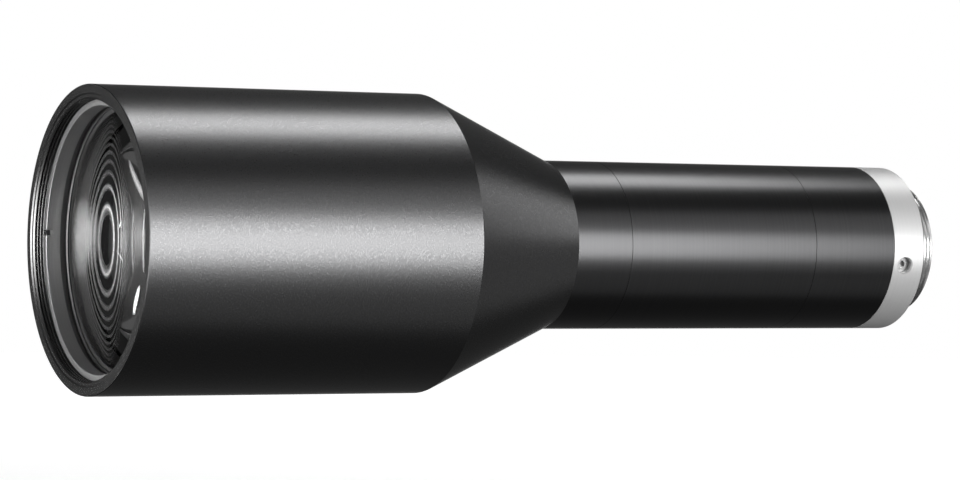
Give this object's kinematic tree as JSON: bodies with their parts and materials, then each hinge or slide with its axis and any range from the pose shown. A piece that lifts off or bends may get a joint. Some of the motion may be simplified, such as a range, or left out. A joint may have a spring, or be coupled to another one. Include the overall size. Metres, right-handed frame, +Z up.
{
  "type": "telecentric lens",
  "caption": "Machine-vision telecentric lens: wide black barrel tapering to a slim tube with a silver screw-in camera mount, recessed front glass and inner glass groups.",
  "frame": {"origin": "centre of the camera mount's flange face, on the optical axis", "axes": "+X along the optical axis towards the camera, the front glass faces -X, +Z up"},
  "size_m": [0.1757, 0.056, 0.056],
  "materials": {
    "black_anodised": "bead-blasted and anodised black, satin",
    "blackened_metal": "dull black, against stray light",
    "mount_metal": "fine turned, silver satin",
    "screw_steel": "plain steel",
    "optical_glass": "polished and coated against reflections"
  },
  "bodies": {
    "root": {"front_barrel": "black_anodised", "middle_tube": "black_anodised", "rear_tube": "black_anodised", "c_mount": "mount_metal", "mount_set_screw_1": "screw_steel", "mount_set_screw_2": "screw_steel", "mount_set_screw_3": "screw_steel", "front_retaining_ring": "blackened_metal", "front_lens": "optical_glass", "inner_spacer": "blackened_metal", "front_inner_lens": "optical_glass", "light_trap_sleeve": "blackened_metal", "cone_baffle": "blackened_metal", "aperture_stop": "blackened_metal", "stop_retaining_ring": "blackened_metal", "rear_lens_1": "optical_glass", "rear_spacer_1": "blackened_metal", "rear_lens_2": "optical_glass", "rear_spacer_2": "blackened_metal", "rear_lens_3": "optical_glass", "rear_spacer_3": "blackened_metal", "rear_lens_4": "optical_glass", "rear_retaining_ring": "blackened_metal"}
  },
  "joints": []
}
